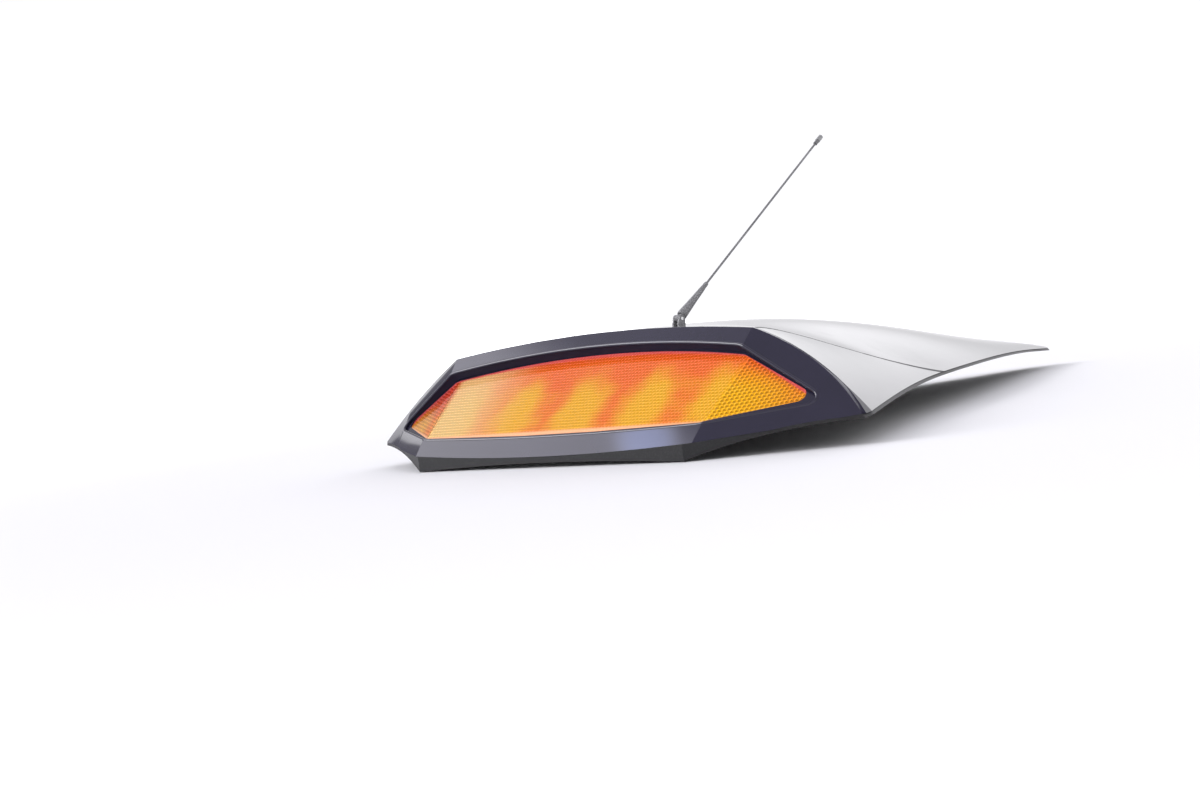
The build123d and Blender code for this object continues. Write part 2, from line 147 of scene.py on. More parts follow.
class FrontSizes(bpy.types.PropertyGroup):
    """The brow plane, on which the outlines of the front are drawn, and the facets."""

    brow_y: length("Front edge", -225.0, "How far forward the brow plane's foot is")
    brow_z: length("Front height", -4.0, "Height of the brow plane's foot")
    brow_lean: angle("Brow lean", 41.6, "How far the brow plane leans back")
    facet_lean: angle("Facet lean", 36.9, "How far the side facets lean back")
    facet_sweep: angle("Facet sweep", 24.0, "How far the side facets turn to the side")
    facet_x: length("Facet corner", 140.0, "Distance of the facets' low corner from the middle")
    facet_z: length("Facet corner height", -16.2, "Height of the facets' low corner")
    edge_round: length("Edge", 0.7, "Radius of the bezel's rounded edges")
    line_width: length("Crease line", 3.0, "Width of the matt line along the flank crease")


class LipSizes(bpy.types.PropertyGroup):
    """The rounded lip round the bezel's recess, drawn on the brow plane."""

    top: length("Top", 71.9, "Height of the top arc in the middle")
    bottom: length("Bottom", -2.9, "Height of the bottom arc in the middle")
    shoulder_u: length("Shoulder", 145.0, "Distance of the shoulder from the middle")
    shoulder_v: length("Shoulder height", 60.5, "Height of the shoulder")
    tip_u: length("Tip", 213.6, "Distance of the side point from the middle")
    tip_v: length("Tip height", 29.4, "Height of the side point")
    corner_u: length("Corner", 140.3, "Distance of the lower corner from the middle")
    corner_v: length("Corner height", 0.1, "Height of the lower corner")
    tip_round: length("Tip round", 4.5, "Radius of the side point")
    radius: length("Lip radius", 1.3, "Radius of the rounded lip")
    inset: length("Lip inset", 0.9, "Depth of the lip's middle behind both faces")


class LensSizes(bpy.types.PropertyGroup):
    """The lens: its three faces, outline and prisms."""

    extra_lean: angle("Extra lean", 6.0, "How much more the lens leans back than the bezel")
    sink: length("Sink", 1.4, "Depth of the lens behind the brow plane at its foot")
    top: length("Top", 73.2, "Height of the top arc in the middle")
    shoulder_u: length("Shoulder", 145.6, "Distance of the shoulder from the middle")
    shoulder_v: length("Shoulder height", 61.8, "Height of the shoulder")
    tip_u: length("Tip", 212.6, "Distance of the blunt tip from the middle")
    tip_v: length("Tip height", 29.8, "Height of the middle of the blunt tip")
    tip_width: length("Tip width", 5.0, "Width of the blunt tip")
    corner_u: length("Corner", 140.3, "Distance of the lower corner from the middle")
    corner_v: length("Corner height", -1.3, "Height of the lower corner")
    bottom: length("Bottom", -4.3, "Height of the bottom arc in the middle")
    skin: length("Skin", 0.4, "Thickness of the clear skin over the prisms")
    rim_width: length("Rim", 1.3, "Width of the raised rim round the prisms")
    prism_depth: length("Prism depth", 0.6, "Depth of the prisms' tips behind the lens face")
    prism_height: length("Prism height", 1.0, "Height of one prism")
    back: length("Back", 2.8, "Depth of the lens's back behind its face")
    prism_pitch: length("Prism pitch", 3.3, "Distance from one prism to the next in a row")
    prism_row: length("Prism row", 2.7, "Distance from one row of prisms to the next")


class GlowSizes(bpy.types.PropertyGroup):
    """The light of the lamps in the lens."""

    spacing: length("Lamp spacing", 65.0, "Distance from one lamp's glow to the next")
    shift: length("Lamp shift", 11.0, "Place of the middle lamp's glow")
    height: length("Lamp height", 19.0, "Height of the lamps' glow on the brow plane")
    reach: length("Lamp reach", 56.0, "Height over which a lamp's glow fades")
    strength: amount("Brightness", 1.05, "Brightness of the lit lens")
    between: amount("Between lamps", 0.38, "Brightness between two lamps")
    patches: amount("Patches", 0.12, "Strength of the glow's uneven patches")
    end_lamp: amount("End lamps", 0.85, "Brightness of the lamps in the ends")
    end_top: amount("End lamps above", 0.25, "Share of the end lamps' light at the top")
    end_tip: amount("End lamps outside", 0.45, "Share of the end lamps' light at the tips")
    # Painted shade: the left facet keeps only this share of the end lamps' light
    left_end_painted_shade: amount("Left end lamp", 0.2, "Share of the end lamps' light in the left facet")
    tip_ember: amount("Ember at the tips", 0.35, "Share of ember at the tips")
    top_ember: amount("Ember above", 0.5, "Share of ember along the top")
    # Painted reflection: share of pale amber near the left crease
    pale: amount("Pale amber", 0.75, "Share of pale amber at the left crease")
    # Painted shade: the brightness left to the left facet
    left_facet_painted_shade: amount("Left facet", 0.75, "Brightness of the left facet")
    # Painted light and painted shade on the prisms' sides, by the way each side faces
    painted_light_side: amount("Bright sides", 1.25, "Brightness of the prisms' bright sides")
    painted_shade_side: amount("Dark sides", 0.38, "Brightness of the prisms' dark sides")


class SignColours(bpy.types.PropertyGroup):
    """Colours of the sign's finishes."""

    paint: colour("Paint", (0.010, 0.010, 0.013), "Gloss black paint of the fairing")
    bezel: colour("Bezel", (0.018, 0.016, 0.032), "Gloss blue-black of the bezel")
    lamp_yellow: colour("Lamp yellow", (1.0, 0.54, 0.006), "Lens in front of a lamp")
    amber: colour("Amber", (1.0, 0.165, 0.010), "Lens between the lamps")
    ember: colour("Ember", (0.72, 0.05, 0.03), "Lens along its top and its ends")
    # Painted reflection: pale amber near the lens's left crease
    pale: colour("Pale amber", (1.0, 0.78, 0.36), "Lens near its left crease")
    peach: colour("Peach", (1.0, 0.52, 0.30), "Rim along the lens's lower edge")
    rose: colour("Rose", (0.62, 0.09, 0.10), "Rim along the lens's upper edge")
    rubber: colour("Rubber", (0.012, 0.012, 0.013), "Gasket, seal and grommet")
    boot: colour("Boot", (0.20, 0.20, 0.205), "Boot and foot of the aerial")
    rod: colour("Rod", (0.20, 0.20, 0.205), "Coating of the aerial's rod")
    cap: colour("Cap", (0.35, 0.35, 0.35), "Cap of the aerial")
    prisms: colour("Prisms", (0.10, 0.015, 0.0), "Prisms without their light")
    skin: colour("Skin", (1.0, 0.96, 0.90), "Clear skin of the lens")
    tray: colour("Tray", (0.82, 0.82, 0.80), "Reflector tray")
    board: colour("Board", (0.78, 0.78, 0.70), "Lamp boards")
    pan: colour("Pan", (0.035, 0.035, 0.038), "Base pan")
    brass: colour("Brass", (0.72, 0.52, 0.22), "Roof inserts")
    steel: colour("Steel", (0.6, 0.6, 0.6), "Hinge pin and its nut")


class AerialSizes(bpy.types.PropertyGroup):
    """The aerial's boot."""

    pivot_y: length("Pivot", -83.1, "Place of the hinge pin along the sign")
    pivot_z: length("Pivot height", 61.5, "Height of the hinge pin")
    lean: angle("Lean", 34.1, "How far the aerial rises from level at rest")
    start: length("Boot start", 3.5, "Distance of the boot's foot from the hinge pin")
    end: length("Boot end", 42.6, "Distance of the boot's end from the hinge pin")
    foot_radius: length("Foot radius", 3.8, "Radius of the boot's foot")
    end_radius: length("End radius", 1.75, "Radius of the boot's end")
    flutes: IntProperty(name="Flutes", description="Number of grooves along the boot",
                        default=9, min=3, max=24)
    flute_depth: length("Flute depth", 0.22, "Depth of the boot's grooves")


class StageSizes(bpy.types.PropertyGroup):
    """The pale studio and the camera."""

    floor_radius: FloatProperty(name="Floor radius", description="Radius of the floor",
                                default=9.0, unit="LENGTH")
    low_light: amount("Low light", 1.06, "Brightness of the low backdrop")
    high_light: amount("High light", 0.55, "Brightness overhead")
    back_light: amount("Back light", 1.25, "Brightness of the rear panel")
    side_light: amount("Side light", 1.8, "Brightness of the side panel")
    front_light: amount("Front light", 7.0, "Brightness of the front panel")
    lamp_light: amount("Lamp light", 4.0, "Brightness of the small lamp")
    card_shade: amount("Dark card", 0.3, "Share of light that the dark card leaves")
    floor: colour("Floor", (0.80, 0.80, 0.805), "Studio floor")
    low_air: colour("Low air", (0.975, 0.97, 1.0), "Low backdrop")
    high_air: colour("High air", (0.93, 0.92, 1.0), "Backdrop overhead")
    lamp_blue: colour("Lamp blue", (0.62, 0.68, 1.0), "Small lamp")
    camera_lens: FloatProperty(name="Lens", description="Camera lens in millimetres",
                               default=54.26)


GROUPS = {
    "front": FrontSizes,
    "lip": LipSizes,
    "lens": LensSizes,
    "glow": GlowSizes,
    "colours": SignColours,
    "aerial": AerialSizes,
    "stage": StageSizes,
}


def settings(name):
    """One of this file's property groups on the scene."""
    return getattr(bpy.context.scene, "roof_sign_" + name)


def mesh_piece(name, points, faces, body, crease=None):
    """A new piece from points and faces, riding on a body, smooth up to the crease angle."""
    mesh = bpy.data.meshes.new(name)
    mesh.from_pydata(np.asarray(points, float).reshape(-1, 3).tolist(), [], faces)
    mesh.update()
    if crease is not None:
        mesh.shade_smooth()
        mesh.set_sharp_from_angle(angle=crease)
    piece = bpy.data.objects.new(name, mesh)
    bpy.context.scene.collection.objects.link(piece)
    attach(piece, body)
    return piece


def set_material(piece, material):
    """Gives a piece its one material."""
    piece.data.materials.clear()
    piece.data.materials.append(material)


def finish(material, *names):
    """Gives CAD nodes one material."""
    for name in names:
        set_material(nodes[name], material)


def new_material(name, **values):
    """A material with a Principled shader whose named sockets are set to constants."""
    material = bpy.data.materials.new(name)
    material.use_nodes = True
    shader = material.node_tree.nodes["Principled BSDF"]
    for socket, value in values.items():
        if hasattr(value, "__len__"):
            value = (*value, 1.0)
        shader.inputs[socket.replace("_", " ")].default_value = value
    return material, material.node_tree, shader


def add_node(tree, kind, inputs=None, **attributes):
    """A node of a kind with its attributes, and inputs by name or place."""
    node = tree.nodes.new(kind)
    for key, value in attributes.items():
        setattr(node, key, value)
    for key, value in (inputs or {}).items():
        if isinstance(value, bpy.types.NodeSocket):
            tree.links.new(value, node.inputs[key])
        else:
            node.inputs[key].default_value = value
    return node


def math_node(tree, operation, *values):
    """The result of one Math node."""
    return add_node(tree, "ShaderNodeMath", dict(enumerate(values)),
                    operation=operation).outputs[0]


def product(tree, first, *others):
    """The product of sockets."""
    for other in others:
        first = math_node(tree, "MULTIPLY", first, other)
    return first


def object_place(tree):
    """The socket of Object coordinates."""
    return add_node(tree, "ShaderNodeTexCoord").outputs["Object"]


def surface_normal(tree):
    """The socket of the surface's outward normal."""
    return add_node(tree, "ShaderNodeNewGeometry").outputs["Normal"]


def dot_product(tree, vector, direction):
    """The dot product of a vector socket with a fixed direction."""
    node = add_node(tree, "ShaderNodeVectorMath", {0: vector, 1: tuple(direction)},
                    operation="DOT_PRODUCT")
    return node.outputs["Value"]


def ramp(tree, value, low, high, to_low=0.0, to_high=1.0):
    """A smooth step of a value between two limits."""
    node = add_node(tree, "ShaderNodeMapRange",
                    {"Value": value, "From Min": low, "From Max": high, "To Min": to_low,
                     "To Max": to_high}, interpolation_type="SMOOTHSTEP")
    return node.outputs["Result"]


def mix_colours(tree, factor, first, second):
    """A mix of two colours, each a socket or a constant."""
    node = add_node(tree, "ShaderNodeMix", {0: factor}, data_type="RGBA")
    for place, value in ((6, first), (7, second)):
        if isinstance(value, bpy.types.NodeSocket):
            tree.links.new(value, node.inputs[place])
        else:
            node.inputs[place].default_value = (*value, 1.0)
    return node.outputs[2]


def noise(tree, scale, detail):
    """A noise texture on Object coordinates, scale in grains a metre."""
    return add_node(tree, "ShaderNodeTexNoise", {"Vector": object_place(tree), "Scale": scale,
                                                 "Detail": detail}).outputs["Fac"]


def bump(tree, shader, height, distance):
    """Links a height to the shader's normal, distance in metres."""
    node = add_node(tree, "ShaderNodeBump", {"Height": height, "Distance": distance})
    tree.links.new(node.outputs["Normal"], shader.inputs["Normal"])


def rubber(name, base):
    """Matt rubber with a fine grain, its colour lighter where the grain stands high."""
    material, tree, shader = new_material(name, Roughness=0.55, Specular_IOR_Level=0.4)
    grain = noise(tree, scale=900.0, detail=5.0)
    raised_tone = [2.2 * c for c in base]
    tree.links.new(mix_colours(tree, ramp(tree, grain, 0.45, 0.8), base, raised_tone),
                   shader.inputs["Base Color"])
    bump(tree, shader, grain, distance=0.00012)
    return material


def coated(name, base, roughness, grain_scale, depth, metallic=0.0):
    """A coated or moulded surface with fine grain in its colour, gloss and height."""
    material, tree, shader = new_material(name, Metallic=metallic)
    grain = noise(tree, grain_scale, detail=4.0)
    wide = noise(tree, scale=40.0, detail=3.0)
    dark = [0.85 * c for c in base]
    light = [min(1.0, 1.15 * c) for c in base]
    tree.links.new(mix_colours(tree, ramp(tree, wide, 0.35, 0.65), dark, light),
                   shader.inputs["Base Color"])
    tree.links.new(ramp(tree, grain, 0.3, 0.7, 0.8 * roughness, 1.2 * roughness),
                   shader.inputs["Roughness"])
    bump(tree, shader, grain, depth)
    return material


def front_normal(lean, sweep):
    """Outward normal of a front face that leans back and is swept to one side.

    Its level part is the cosine of the lean, turned by the sweep, and it rises by the sine.
    """
    flat = math.cos(lean)
    return np.array((flat * math.sin(sweep), -flat * math.cos(sweep), math.sin(lean)))


def brow_frame():
    """Foot of the brow plane, its directions across and up, and its outward normal."""
    front = settings("front")
    foot = np.array((0.0, front.brow_y, front.brow_z))
    normal = front_normal(front.brow_lean, 0.0)
    return foot, np.array((1.0, 0.0, 0.0)), np.cross(normal, (1.0, 0.0, 0.0)), normal


def lens_planes():
    """A point and the outward normal of the lens's middle, left and right faces."""
    front = settings("front")
    lens = settings("lens")
    lip = settings("lip")
    foot, across, up, normal = brow_frame()
    low = foot + lip.bottom * up - lens.sink * normal
    planes = [(low, front_normal(front.brow_lean + lens.extra_lean, 0.0))]
    for side in (-1, 1):
        corner = foot + side * lip.corner_u * across + lip.corner_v * up - lens.sink * normal
        planes.append((corner, front_normal(front.facet_lean + lens.extra_lean,
                                            side * front.facet_sweep)))
    return planes


def lens_depth(u, v):
    """Depth of each lens face under points of the brow plane.

    The depth of a face at a point is the point's height over the face divided by the
    cosine between the two normals; the deepest of the three is the lens.
    """
    foot, across, up, normal = brow_frame()
    points = foot + u[..., None] * across + v[..., None] * up
    return np.stack([(points - spot) @ out / (normal @ out) for spot, out in lens_planes()])


def arc_height(u, middle, side_u, side_v):
    """Height over u of the arc through a middle point and a point at each side.

    The arc's radius is (side squared plus rise squared) over twice the rise.
    """
    rise = side_v - middle
    radius = (side_u ** 2 + rise ** 2) / (2 * abs(rise))
    return middle + np.sign(rise) * (radius - np.sqrt(radius ** 2 - u ** 2))


def crease_top():
    """Distance from the middle at which the lens's crease meets the outline's top.

    On the crease the middle face and a side face are equally deep, so their difference is
    worked out along the outline's top, and its zero is read off between two places.
    """
    lens = settings("lens")
    u = np.linspace(0.3 * lens.corner_u, lens.shoulder_u, 400)
    v = arc_height(u, lens.top, lens.shoulder_u, lens.shoulder_v)
    middle, _, right = lens_depth(u, v)
    gap = right - middle
    return float(np.interp(0.0, gap, u)) if gap[0] < 0 < gap[-1] else lens.shoulder_u


def lens_columns():
    """Bottom and top points of the columns of the lens's grid, on the brow plane.

    The middle runs from crease to crease. Each side runs from its crease to the blunt tip,
    along the bottom's slope below and round the shoulder above.
    """
    lens = settings("lens")
    middle_columns, side_columns = 41, 12
    step = np.linspace(-1, 1, middle_columns)
    low_u = step * lens.corner_u
    low_v = arc_height(low_u, lens.bottom, lens.corner_u, lens.corner_v)
    top_u = step * crease_top()
    top_v = arc_height(top_u, lens.top, lens.shoulder_u, lens.shoulder_v)
    along = np.linspace(0, 1, side_columns + 1)[1:]
    side_low_u = lens.corner_u + along * (lens.tip_u - lens.corner_u)
    side_low_v = lens.corner_v + along * (lens.tip_v - lens.tip_width / 2 - lens.corner_v)
    side_top_u = top_u[-1] + along * (lens.tip_u - top_u[-1])
    slope = (lens.tip_v + lens.tip_width / 2 - lens.shoulder_v) / (lens.tip_u - lens.shoulder_u)
    arc = arc_height(side_top_u, lens.top, lens.shoulder_u, lens.shoulder_v)
    side_top_v = np.where(side_top_u < lens.shoulder_u, arc,
                          lens.shoulder_v + slope * (side_top_u - lens.shoulder_u))
    return [np.stack([np.r_[-side_u[::-1], middle_u, side_u],
                      np.r_[side_v[::-1], middle_v, side_v]], -1)
            for middle_u, middle_v, side_u, side_v in (
                (low_u, low_v, side_low_u, side_low_v), (top_u, top_v, side_top_u, side_top_v))]


def lens_sheet(depth, start=0.0, stop=None, rows=9):
    """The lens's grid at a depth behind its face: straight columns, deepest face taken.

    The rows run from start to stop up each column, both lengths from its lower end, or
    from its upper end where they are negative, and otherwise to that end.
    """
    foot, across, up, normal = brow_frame()
    low, top = lens_columns()
    column = top - low
    tall = np.linalg.norm(column, axis=1)
    first = np.where(start < 0, 1 + start / tall, start / tall)
    last = np.ones_like(tall) if stop is None else np.minimum(stop / tall, 1.0)
    share = first + np.linspace(0, 1, rows)[:, None] * (last - first)
    place = low + share[..., None] * column
    u = place[..., 0]
    v = place[..., 1]
    below = lens_depth(u, v).max(0) + depth
    return foot + u[..., None] * across + v[..., None] * up - below[..., None] * normal


def grid_faces(rows, columns, first=0, flip=False):
    """Quads of a grid of points kept row by row."""
    row, column = np.meshgrid(np.arange(rows - 1), np.arange(columns - 1), indexing="ij")
    corner = (first + row * columns + column).ravel()
    quads = np.stack([corner, corner + 1, corner + columns + 1, corner + columns], -1)
    return quads[:, ::-1] if flip else quads


def tube_faces(rings, points, closed=False):
    """Quads of a tube whose rings of points are kept ring by ring.

    Each quad joins a point, the next one round its ring and the two that follow them on
    the next ring. A closed tube also joins its last ring to its first.
    """
    ring, point = np.meshgrid(np.arange(rings if closed else rings - 1), np.arange(points),
                              indexing="ij")
    after = (point + 1) % points
    above = (ring + 1) % rings * points
    ring = ring * points
    return np.stack([ring + point, ring + after, above + after, above + point],
                    -1).reshape(-1, 4)


def fan_faces(pole, ring):
    """Triangles from a pole to each pair of neighbours on a ring of points."""
    return np.stack([np.full(len(ring), pole), np.roll(ring, -1), ring], -1)


def closed_sheet(front, back):
    """Points and faces of a solid between two grids of the same size.

    The walls join the points round the edge of one grid to those of the other.
    """
    rows, columns, _ = front.shape
    count = rows * columns
    edge = np.r_[np.arange(columns), np.arange(1, rows) * columns + columns - 1,
                 count - 2 - np.arange(columns - 1), np.arange(rows - 2, 0, -1) * columns]
    after = np.roll(edge, -1)
    walls = np.stack([edge, edge + count, after + count, after], -1)
    faces = np.vstack([grid_faces(rows, columns), grid_faces(rows, columns, count, True),
                       walls])
    return np.vstack([front.reshape(-1, 3), back.reshape(-1, 3)]), faces


def inside_outline(u, v):
    """Whether points of the brow plane lie between the outline's bottom and top there."""
    low, top = lens_columns()
    under = np.interp(u, low[:, 0], low[:, 1])
    over = np.interp(u, top[:, 0], top[:, 1])
    return (v > under) & (v < over) & (np.abs(u) < settings("lens").tip_u)


def prism_cells(face):
    """Points and faces of the small pyramids behind one lens face.

    Their feet are rectangles in rows along the face's lower edge, and each row is shifted
    by half a pitch. A cell is kept where its face is the deepest one in the outline.
    """
    lens = settings("lens")
    foot, across, up, normal = brow_frame()
    spot, out = lens_planes()[face]
    low, _ = lens_columns()
    ends = {0: (-lens.corner_u, lens.corner_u, lens.corner_v, lens.corner_v),
            1: (low[0, 0], -lens.corner_u, low[0, 1], lens.corner_v),
            2: (lens.corner_u, low[-1, 0], lens.corner_v, low[-1, 1])}[face]
    run = (ends[1] - ends[0]) * across + (ends[3] - ends[2]) * up
    along = run - (run @ out) * out
    along /= np.linalg.norm(along)
    rise = np.cross(out, along)
    sideways, below, above = 0.24, 0.05, 0.14
    i, j = np.meshgrid(np.arange(-sideways, sideways, lens.prism_pitch),
                       np.arange(-below, above, lens.prism_row))
    odd = (np.arange(i.shape[0]) % 2)[:, None]
    i = i + odd * lens.prism_pitch / 2
    centre = spot + i[..., None] * along + j[..., None] * rise
    u = (centre - foot) @ across
    v = (centre - foot) @ up
    kept = inside_outline(u, v) & (lens_depth(u, v).argmax(0) == face)
    centre = centre[kept] - (lens.prism_depth + lens.prism_height) * out
    half = 0.5 * np.array(((-1, -1), (1, -1), (1, 1), (-1, 1))) * (lens.prism_pitch,
                                                                   lens.prism_row)
    corners = centre[:, None] + half[:, :1] * along + half[:, 1:] * rise
    tips = centre[:, None] + lens.prism_height * out
    points = np.concatenate([corners, tips], 1)
    first = 5 * np.arange(len(points))[:, None]
    sides = np.array(((0, 1, 4), (1, 2, 4), (2, 3, 4), (3, 0, 4)))
    triangles = (first[:, None] + sides).reshape(-1, 3)
    floor = first + np.array((3, 2, 1, 0))
    return points.reshape(-1, 3), triangles.tolist() + floor.tolist()


def lip_path():
    """Points of the lip's closed outline on the brow plane, a millimetre apart.

    Two arcs and four straight sides are walked evenly, and a running mean over a few
    millimetres rounds their corners. Each side point is an arc of its own: the blend of
    its two tangent points and its corner, weighted by the sine of half the corner's angle.
    """
    lip = settings("lip")
    step = np.linspace(-1, 1, 60)[:-1]
    top_u = step * lip.shoulder_u
    low_u = -step * lip.corner_u
    corner = np.array((lip.tip_u, lip.tip_v))
    sides = np.array(((lip.shoulder_u, lip.shoulder_v), (lip.corner_u, lip.corner_v))) - corner
    sides /= np.linalg.norm(sides, axis=1)[:, None]
    half = 0.5 * math.acos(sides[0] @ sides[1])
    first, last = corner + lip.tip_round / math.tan(half) * sides
    share = np.linspace(0, 1, 13)[:, None]
    weights = (1 - share) ** 2, 2 * math.sin(half) * share * (1 - share), share ** 2
    tip = (weights[0] * first + weights[1] * corner + weights[2] * last) / sum(weights)
    corners = np.vstack([
        np.stack([top_u, arc_height(top_u, lip.top, lip.shoulder_u, lip.shoulder_v)], -1),
        ((lip.shoulder_u, lip.shoulder_v),), tip,
        np.stack([low_u, arc_height(low_u, lip.bottom, lip.corner_u, lip.corner_v)], -1),
        ((-lip.corner_u, lip.corner_v),), tip[::-1] * (-1, 1),
    ])
    around = np.vstack([corners, corners[:1]])
    walked = np.r_[0, np.cumsum(np.linalg.norm(np.diff(around, axis=0), axis=1))]
    spots = np.linspace(0, walked[-1], int(walked[-1] * 1000))[:-1]
    path = np.stack([np.interp(spots, walked, around[:, k]) for k in (0, 1)], -1)
    reach = 3
    return sum(np.roll(path, shift, 0) for shift in range(-reach, reach + 1)) / (2 * reach + 1)


def lip_bead():
    """A round bead along the lip, sunk in the bezel's edge.

    Its middle lies outward from the outline and behind the front's deepest plane by the
    inset, and its section is a circle across the outline.
    """
    lip = settings("lip")
    front = settings("front")
    foot, across, up, normal = brow_frame()
    path = lip_path()
    along = np.roll(path, -1, 0) - np.roll(path, 1, 0)
    along /= np.linalg.norm(along, axis=1)[:, None]
    outward = np.stack([-along[:, 1], along[:, 0]], -1)
    middle = path + lip.inset * outward
    points = foot + middle[:, :1] * across + middle[:, 1:] * up
    depth = np.zeros(len(path))
    facet_y = front.brow_y + (front.facet_z - front.brow_z) * math.tan(front.brow_lean)
    for side in (-1, 1):
        out = front_normal(front.facet_lean, side * front.facet_sweep)
        spot = np.array((side * front.facet_x, facet_y, front.facet_z))
        depth = np.maximum(depth, (points - spot) @ out / (normal @ out))
    points = points - (depth + lip.inset)[:, None] * normal
    away = outward[:, :1] * across + outward[:, 1:] * up
    turn = np.linspace(0, 2 * np.pi, 15)[:-1]
    ring = lip.radius * (np.cos(turn)[:, None] * normal
                         + np.sin(turn)[:, None] * away[:, None])
    tube = points[:, None] + ring
    return tube.reshape(-1, 3), tube_faces(len(path), len(turn), closed=True)


def fluted_boot():
    """Points and faces of the aerial's tapering boot with grooves along it.

    The boot is a profile turned about the aerial's axis: at each place along it the radius
    is the profile's, less a groove of half of one minus the cosine of the turn times the
    number of flutes. The grooves fade out at both ends.
    """
    sizes = settings("aerial")
    root = np.array((0.0, sizes.pivot_y, sizes.pivot_z))
    axis = np.array((0.0, math.cos(sizes.lean), math.sin(sizes.lean)))
    side = np.array((1.0, 0.0, 0.0))
    over = np.cross(side, axis)
    places = np.array(BOOT_ALONG)
    width = np.array(BOOT_WIDE) * sizes.foot_radius
    neck = sizes.end_radius / (BOOT_NECK * sizes.foot_radius)
    width = np.where(places > BOOT_NECK_START, width * neck, width)
    turn = np.linspace(0, 2 * np.pi, 73)[:-1]
    fade = np.clip(np.minimum(places, GROOVE_END - places) / GROOVE_FADE, 0, 1)
    groove = sizes.flute_depth * fade[:, None] * (0.5 - 0.5 * np.cos(sizes.flutes * turn))
    radius = np.clip(width[:, None] - groove, 0, None)
    along = sizes.start + places * (sizes.end - sizes.start)
    rings = (root + along[:, None, None] * axis
             + radius[..., None] * (np.cos(turn)[:, None] * side
                                    + np.sin(turn)[:, None] * over))
    inner = rings[1:-1]
    count = len(turn)
    first = np.arange(count)
    last = first + (len(inner) - 1) * count
    foot_pole = len(inner) * count
    faces = [*tube_faces(len(inner), count).tolist(),
             *fan_faces(foot_pole, first).tolist(),
             *fan_faces(foot_pole + 1, last[::-1]).tolist()]
    return np.vstack([inner.reshape(-1, 3), rings[0, :1], rings[-1, :1]]), faces


def studio_floor():
    """A flat round floor of rings of points round a pole, just under the part."""
    below = 0.0005
    floor_z = cad_box[0].z - below
    turn = np.linspace(0, 2 * np.pi, 97)[:-1]
    out = np.array((0.5, 1.5, 4.0, settings("stage").floor_radius))
    rings = np.stack([out[:, None] * np.sin(turn), out[:, None] * np.cos(turn),
                      np.full((len(out), len(turn)), floor_z)], -1).reshape(-1, 3)
    mesh = bpy.data.meshes.new("studio_floor")
    mesh.from_pydata([*rings.tolist(), (0, 0, floor_z)], [],
                     [*tube_faces(len(out), len(turn)).tolist(),
                      *fan_faces(len(rings), np.arange(len(turn))).tolist()])
    floor = bpy.data.objects.new("studio_floor", mesh)
    bpy.context.scene.collection.objects.link(floor)
    return floor


def floor_white():
    """White that shines more with its distance from the part, so that it has no edge."""
    material, tree, shader = new_material("studio_white", Roughness=0.8,
                                          Specular_IOR_Level=0.1,
                                          Base_Color=settings("stage").floor,
                                          Emission_Color=(1.0, 1.0, 1.0))
    place = add_node(tree, "ShaderNodeSeparateXYZ", {0: object_place(tree)}).outputs
    away = math_node(tree, "SQRT", math_node(tree, "ADD",
                                             math_node(tree, "POWER", place[0], 2.0),
                                             math_node(tree, "POWER", place[1], 2.0)))
    near, far, shine = 0.45, 3.5, 1.2
    tree.links.new(ramp(tree, away, near, far, 0.0, shine),
                   shader.inputs["Emission Strength"])
    return material


def panel(tree, direction, shape, brightness=1.0):
    """A soft round panel: bright where the cosine off its middle passes from edge to full."""
    middle, edge, full = shape
    cosine = dot_product(tree, direction, Vector(middle).normalized())
    return ramp(tree, cosine, edge, full, 0.0, brightness)


def studio_light():
    """A pale backdrop with the panels, the small lamp and the dark card that show in the gloss.

    The backdrop's strength is a ramp of height, to which the panels are added, and the dark
    card takes its share of the sum. Each panel starts at a height of its own.
    """
    stage = settings("stage")
    world = bpy.data.worlds.new("studio_light")
    bpy.context.scene.world = world
    world.use_nodes = True
    tree = world.node_tree
    direction = add_node(tree, "ShaderNodeTexCoord").outputs["Generated"]
    rise = add_node(tree, "ShaderNodeSeparateXYZ", {0: direction}).outputs[2]
    strength = ramp(tree, rise, *AIR_DIM, stage.low_light, stage.high_light)
    lamp = panel(tree, direction, SMALL_LAMP)
    side_cut = ramp(tree, dot_product(tree, direction, SIDE_CUT), *SIDE_END,
                    stage.side_light, 0.0)
    lights = (
        product(tree, ramp(tree, rise, *REAR_RISE),
                panel(tree, direction, REAR_PANEL, stage.back_light)),
        product(tree, ramp(tree, rise, *SIDE_RISE), side_cut,
                ramp(tree, dot_product(tree, direction, (-1.0, 0.0, 0.0)), *SIDE_LEFT)),
        panel(tree, direction, FRONT_PANEL, stage.front_light),
        math_node(tree, "MULTIPLY", lamp, stage.lamp_light),
    )
    for light in lights:
        strength = math_node(tree, "ADD", strength, light)
    card = product(tree, ramp(tree, rise, *CARD_RISE), panel(tree, direction, DARK_CARD))
    strength = product(tree, strength, ramp(tree, card, 0.0, 1.0, 1.0, stage.card_shade))
    air = mix_colours(tree, ramp(tree, rise, *AIR_TINT), stage.low_air, stage.high_air)
    background = tree.nodes["Background"]
    tree.links.new(mix_colours(tree, lamp, air, stage.lamp_blue), background.inputs["Color"])
    tree.links.new(strength, background.inputs["Strength"])


def studio_camera():
    """The camera in the photograph's place, turned by its two directions made square."""
    camera_data = bpy.data.cameras.new("camera")
    camera_data.lens = settings("stage").camera_lens
    camera_data.sensor_width = 36.0
    camera = bpy.data.objects.new("camera", camera_data)
    bpy.context.scene.collection.objects.link(camera)
    back = Vector(CAMERA_BACK).normalized()
    above = back.cross(Vector(CAMERA_RIGHT).normalized()).normalized()
    turned = Matrix((above.cross(back), above, back)).transposed().to_4x4()
    camera.matrix_world = Matrix.Translation(CAMERA_PLACE) @ turned
    bpy.context.scene.camera = camera


